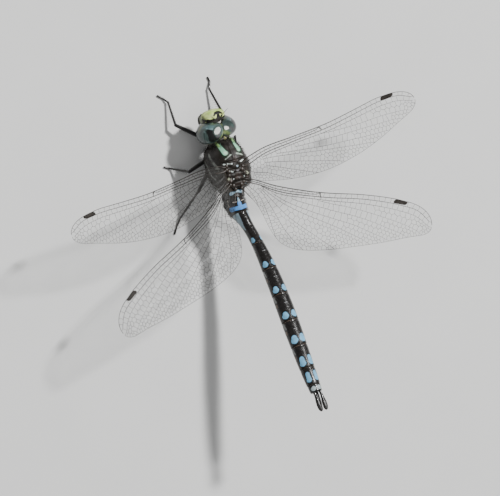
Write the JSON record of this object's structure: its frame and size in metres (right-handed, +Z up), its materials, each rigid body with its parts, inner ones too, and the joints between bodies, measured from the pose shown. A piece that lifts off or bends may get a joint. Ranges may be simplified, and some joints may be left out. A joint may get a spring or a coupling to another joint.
{
  "type": "dragonfly",
  "caption": "Life-size still model of a male mosaic darner dragonfly at rest, wings spread, blue-spotted abdomen raised.",
  "frame": {"origin": "middle of the footprint, on the floor that the feet stand on", "axes": "head faces -Y, the insect's left side is +X, +Z up"},
  "size_m": [0.0816, 0.0706, 0.0286],
  "materials": {
    "eye": "glossy dark teal compound eye with an olive rim",
    "face": "satin yellow-green face with a black T mark",
    "chest": "blackish brown plates with pale green stripes and fine down",
    "abdomen": "glossy black rings with paired sky-blue spots",
    "wing": "clear glassy membrane with dark brown veins and a dark wing spot",
    "leg": "shiny black shell with fine spines"
  },
  "bodies": {
    "root": {"abdomen_1": "abdomen", "abdomen_10": "abdomen", "abdomen_2": "abdomen", "abdomen_3": "abdomen", "abdomen_4": "abdomen", "abdomen_5": "abdomen", "abdomen_6": "abdomen", "abdomen_7": "abdomen", "abdomen_8": "abdomen", "abdomen_9": "abdomen", "antenna_left": "leg", "antenna_right": "leg", "cercus_left": "abdomen", "cercus_right": "abdomen", "epiproct": "abdomen", "eye_left": "eye", "eye_right": "eye", "fore_femur_left": "leg", "fore_femur_right": "leg", "fore_tarsus_left": "leg", "fore_tarsus_right": "leg", "fore_tibia_left": "leg", "fore_tibia_right": "leg", "forewing_left": "wing", "forewing_right": "wing", "head": "face", "hind_femur_left": "leg", "hind_femur_right": "leg", "hind_tarsus_left": "leg", "hind_tarsus_right": "leg", "hind_tibia_left": "leg", "hind_tibia_right": "leg", "hindwing_left": "wing", "hindwing_right": "wing", "mid_femur_left": "leg", "mid_femur_right": "leg", "mid_tarsus_left": "leg", "mid_tarsus_right": "leg", "mid_tibia_left": "leg", "mid_tibia_right": "leg", "mouthparts": "leg", "neck": "chest", "prothorax": "chest", "thorax": "chest"}
  },
  "joints": []
}
